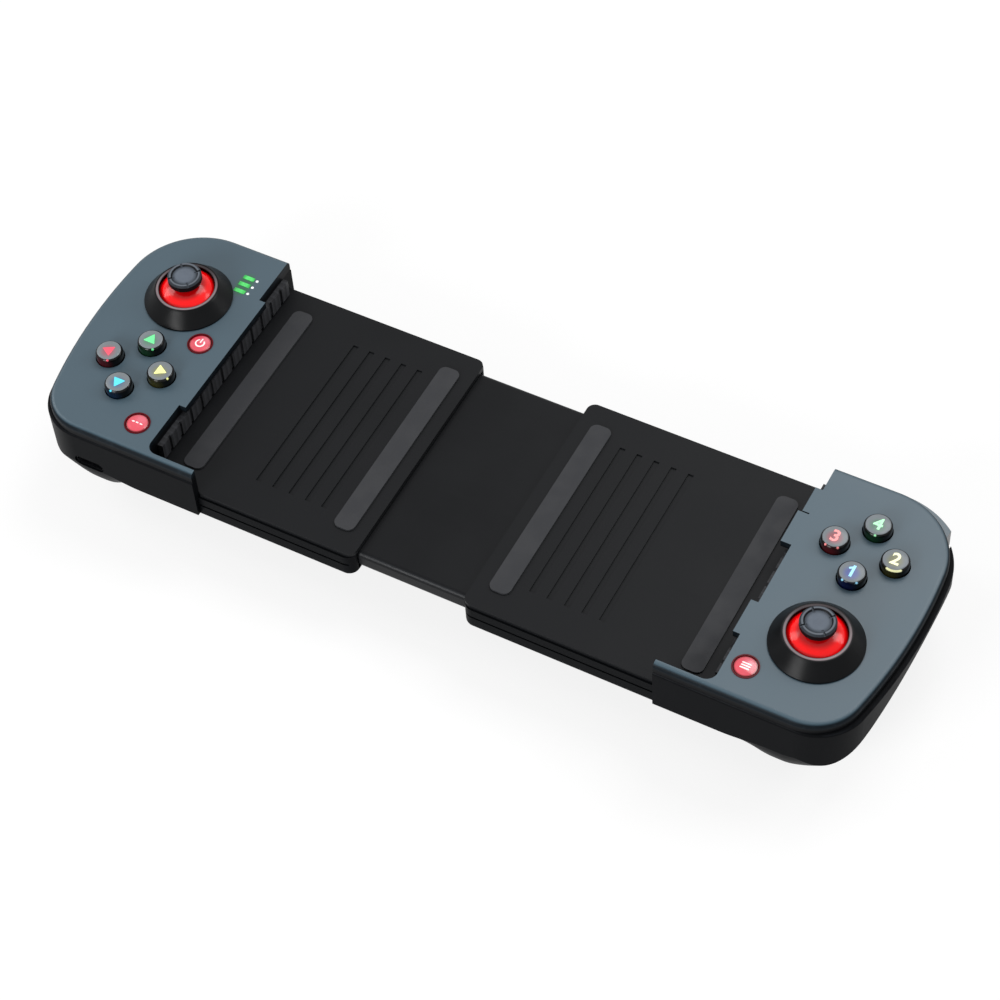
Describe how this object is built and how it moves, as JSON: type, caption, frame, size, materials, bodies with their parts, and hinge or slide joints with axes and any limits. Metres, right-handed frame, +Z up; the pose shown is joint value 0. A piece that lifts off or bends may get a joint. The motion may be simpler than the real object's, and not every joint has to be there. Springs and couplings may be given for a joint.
{
  "type": "telescopic handheld game controller",
  "caption": "Game controller in two grips on a sprung sliding rail that clamps a handheld screen between them, with thumb sticks, buttons, bumpers and triggers.",
  "frame": {"origin": "on the table plane that both grips stand on, at the middle of the bounding box seen from above, with the handles pulled open as pictured", "axes": "+X from the left handle to the right one, +Y away from the player towards the triggers, +Z up out of the faceplates"},
  "size_m": [0.245, 0.0818, 0.041],
  "materials": {
    "slate_plastic": "satin",
    "black_plastic": "satin",
    "black_rubber": "matt",
    "black_gloss": "gloss",
    "red_gloss": "gloss",
    "red_clear": "gloss",
    "dark_red": "gloss",
    "green_light": "lit from inside",
    "board_green": "lacquered",
    "steel": "bright",
    "cell_foil": "satin",
    "ribbon_film": "satin"
  },
  "bodies": {
    "left_half": {"left_back_shell": "black_plastic", "left_faceplate": "slate_plastic", "left_tray_cover": "black_plastic", "left_tray_pads": "black_rubber", "left_jaw_pad": "black_rubber", "left_circuit_board": "board_green", "left_key_mat": "black_rubber", "left_button_rings": "dark_red", "left_stick_bezel": "black_gloss", "left_stick_housing": "black_plastic", "left_bumper_pin": "steel", "left_trigger_pin": "steel", "left_screws": "steel", "indicator_lights": "green_light", "usb_socket": "steel", "usb_board": "board_green", "telescope_springs": "steel", "ribbon_cable": "ribbon_film"},
    "right_half": {"right_back_shell": "black_plastic", "right_faceplate": "slate_plastic", "right_tray_cover": "black_plastic", "right_tray_pads": "black_rubber", "right_jaw_pad": "black_rubber", "right_circuit_board": "board_green", "right_key_mat": "black_rubber", "right_button_rings": "dark_red", "right_stick_bezel": "black_gloss", "right_stick_housing": "black_plastic", "right_bumper_pin": "steel", "right_trigger_pin": "steel", "right_screws": "steel", "battery": "cell_foil", "slide_rail": "black_plastic"},
    "left_stick_press": {"left_stick_carrier": "black_plastic"},
    "left_stick_gimbal": {"left_stick_rocker": "black_plastic"},
    "left_stick": {"left_stick_shaft": "black_plastic", "left_stick_dome": "red_gloss", "left_stick_cap": "black_rubber"},
    "direction_button_up": {"direction_button_up": "black_gloss"},
    "direction_button_down": {"direction_button_down": "black_gloss"},
    "direction_button_left": {"direction_button_left": "black_gloss"},
    "direction_button_right": {"direction_button_right": "black_gloss"},
    "power_button": {"power_button": "red_clear"},
    "select_button": {"select_button": "red_clear"},
    "left_bumper": {"left_bumper": "black_gloss"},
    "left_trigger": {"left_trigger": "black_gloss"},
    "right_stick_press": {"right_stick_carrier": "black_plastic"},
    "right_stick_gimbal": {"right_stick_rocker": "black_plastic"},
    "right_stick": {"right_stick_shaft": "black_plastic", "right_stick_dome": "red_gloss", "right_stick_cap": "black_rubber"},
    "action_button_up": {"action_button_up": "black_gloss"},
    "action_button_down": {"action_button_down": "black_gloss"},
    "action_button_left": {"action_button_left": "black_gloss"},
    "action_button_right": {"action_button_right": "black_gloss"},
    "start_button": {"start_button": "red_clear"},
    "right_bumper": {"right_bumper": "black_gloss"},
    "right_trigger": {"right_trigger": "black_gloss"}
  },
  "joints": [
    {"name": "telescope_slide", "type": "slide", "parent": "left_half", "child": "right_half", "axis": [1, 0, 0], "range_m": [-0.03, 0.008], "stiffness_N_per_m": 60, "springref_m": -0.045, "deforming": ["telescope_springs", "ribbon_cable"]},
    {"name": "left_stick_press", "type": "slide", "parent": "left_half", "child": "left_stick_press", "axis": [0, 0, 1], "range_m": [-0.0005, 0], "stiffness_N_per_m": 3000, "springref_m": 0.0005},
    {"name": "left_stick_tilt_x", "type": "hinge", "parent": "left_stick_press", "child": "left_stick_gimbal", "pos_m": [-0.1002, 0.0117, 0.027], "axis": [1, 0, 0], "range_deg": [-13, 13], "stiffness_Nm_per_rad": 0.03},
    {"name": "left_stick_tilt_y", "type": "hinge", "parent": "left_stick_gimbal", "child": "left_stick", "pos_m": [-0.1002, 0.0117, 0.027], "axis": [0, 1, 0], "range_deg": [-13, 13], "stiffness_Nm_per_rad": 0.03},
    {"name": "direction_button_up_press", "type": "slide", "parent": "left_half", "child": "direction_button_up", "axis": [0, 0, 1], "range_m": [-0.001, 0], "stiffness_N_per_m": 600, "springref_m": 0.0006},
    {"name": "direction_button_down_press", "type": "slide", "parent": "left_half", "child": "direction_button_down", "axis": [0, 0, 1], "range_m": [-0.001, 0], "stiffness_N_per_m": 600, "springref_m": 0.0006},
    {"name": "direction_button_left_press", "type": "slide", "parent": "left_half", "child": "direction_button_left", "axis": [0, 0, 1], "range_m": [-0.001, 0], "stiffness_N_per_m": 600, "springref_m": 0.0006},
    {"name": "direction_button_right_press", "type": "slide", "parent": "left_half", "child": "direction_button_right", "axis": [0, 0, 1], "range_m": [-0.001, 0], "stiffness_N_per_m": 600, "springref_m": 0.0006},
    {"name": "power_button_press", "type": "slide", "parent": "left_half", "child": "power_button", "axis": [0, 0, 1], "range_m": [-0.0006, 0], "stiffness_N_per_m": 600, "springref_m": 0.0006},
    {"name": "select_button_press", "type": "slide", "parent": "left_half", "child": "select_button", "axis": [0, 0, 1], "range_m": [-0.0006, 0], "stiffness_N_per_m": 600, "springref_m": 0.0006},
    {"name": "left_bumper_press", "type": "hinge", "parent": "left_half", "child": "left_bumper", "pos_m": [-0.0925, 0.0309, 0.024], "axis": [0, 0, -1], "range_deg": [-2.5, 0], "stiffness_Nm_per_rad": 0.5, "springref_deg": 1.15},
    {"name": "left_trigger_pull", "type": "hinge", "parent": "left_half", "child": "left_trigger", "pos_m": [-0.1, 0.0314, 0.0166], "axis": [1, 0, 0], "range_deg": [-12, 0], "stiffness_Nm_per_rad": 0.08, "springref_deg": 5.73},
    {"name": "right_stick_press", "type": "slide", "parent": "right_half", "child": "right_stick_press", "axis": [0, 0, 1], "range_m": [-0.0005, 0], "stiffness_N_per_m": 3000, "springref_m": 0.0005},
    {"name": "right_stick_tilt_x", "type": "hinge", "parent": "right_stick_press", "child": "right_stick_gimbal", "pos_m": [0.1002, -0.0169, 0.027], "axis": [1, 0, 0], "range_deg": [-13, 13], "stiffness_Nm_per_rad": 0.03},
    {"name": "right_stick_tilt_y", "type": "hinge", "parent": "right_stick_gimbal", "child": "right_stick", "pos_m": [0.1002, -0.0169, 0.027], "axis": [0, 1, 0], "range_deg": [-13, 13], "stiffness_Nm_per_rad": 0.03},
    {"name": "action_button_up_press", "type": "slide", "parent": "right_half", "child": "action_button_up", "axis": [0, 0, 1], "range_m": [-0.001, 0], "stiffness_N_per_m": 600, "springref_m": 0.0006},
    {"name": "action_button_down_press", "type": "slide", "parent": "right_half", "child": "action_button_down", "axis": [0, 0, 1], "range_m": [-0.001, 0], "stiffness_N_per_m": 600, "springref_m": 0.0006},
    {"name": "action_button_left_press", "type": "slide", "parent": "right_half", "child": "action_button_left", "axis": [0, 0, 1], "range_m": [-0.001, 0], "stiffness_N_per_m": 600, "springref_m": 0.0006},
    {"name": "action_button_right_press", "type": "slide", "parent": "right_half", "child": "action_button_right", "axis": [0, 0, 1], "range_m": [-0.001, 0], "stiffness_N_per_m": 600, "springref_m": 0.0006},
    {"name": "start_button_press", "type": "slide", "parent": "right_half", "child": "start_button", "axis": [0, 0, 1], "range_m": [-0.0006, 0], "stiffness_N_per_m": 600, "springref_m": 0.0006},
    {"name": "right_bumper_press", "type": "hinge", "parent": "right_half", "child": "right_bumper", "pos_m": [0.0925, 0.0309, 0.024], "axis": [0, 0, 1], "range_deg": [-2.5, 0], "stiffness_Nm_per_rad": 0.5, "springref_deg": 1.15},
    {"name": "right_trigger_pull", "type": "hinge", "parent": "right_half", "child": "right_trigger", "pos_m": [0.1, 0.0314, 0.0166], "axis": [1, 0, 0], "range_deg": [-12, 0], "stiffness_Nm_per_rad": 0.08, "springref_deg": 5.73}
  ]
}
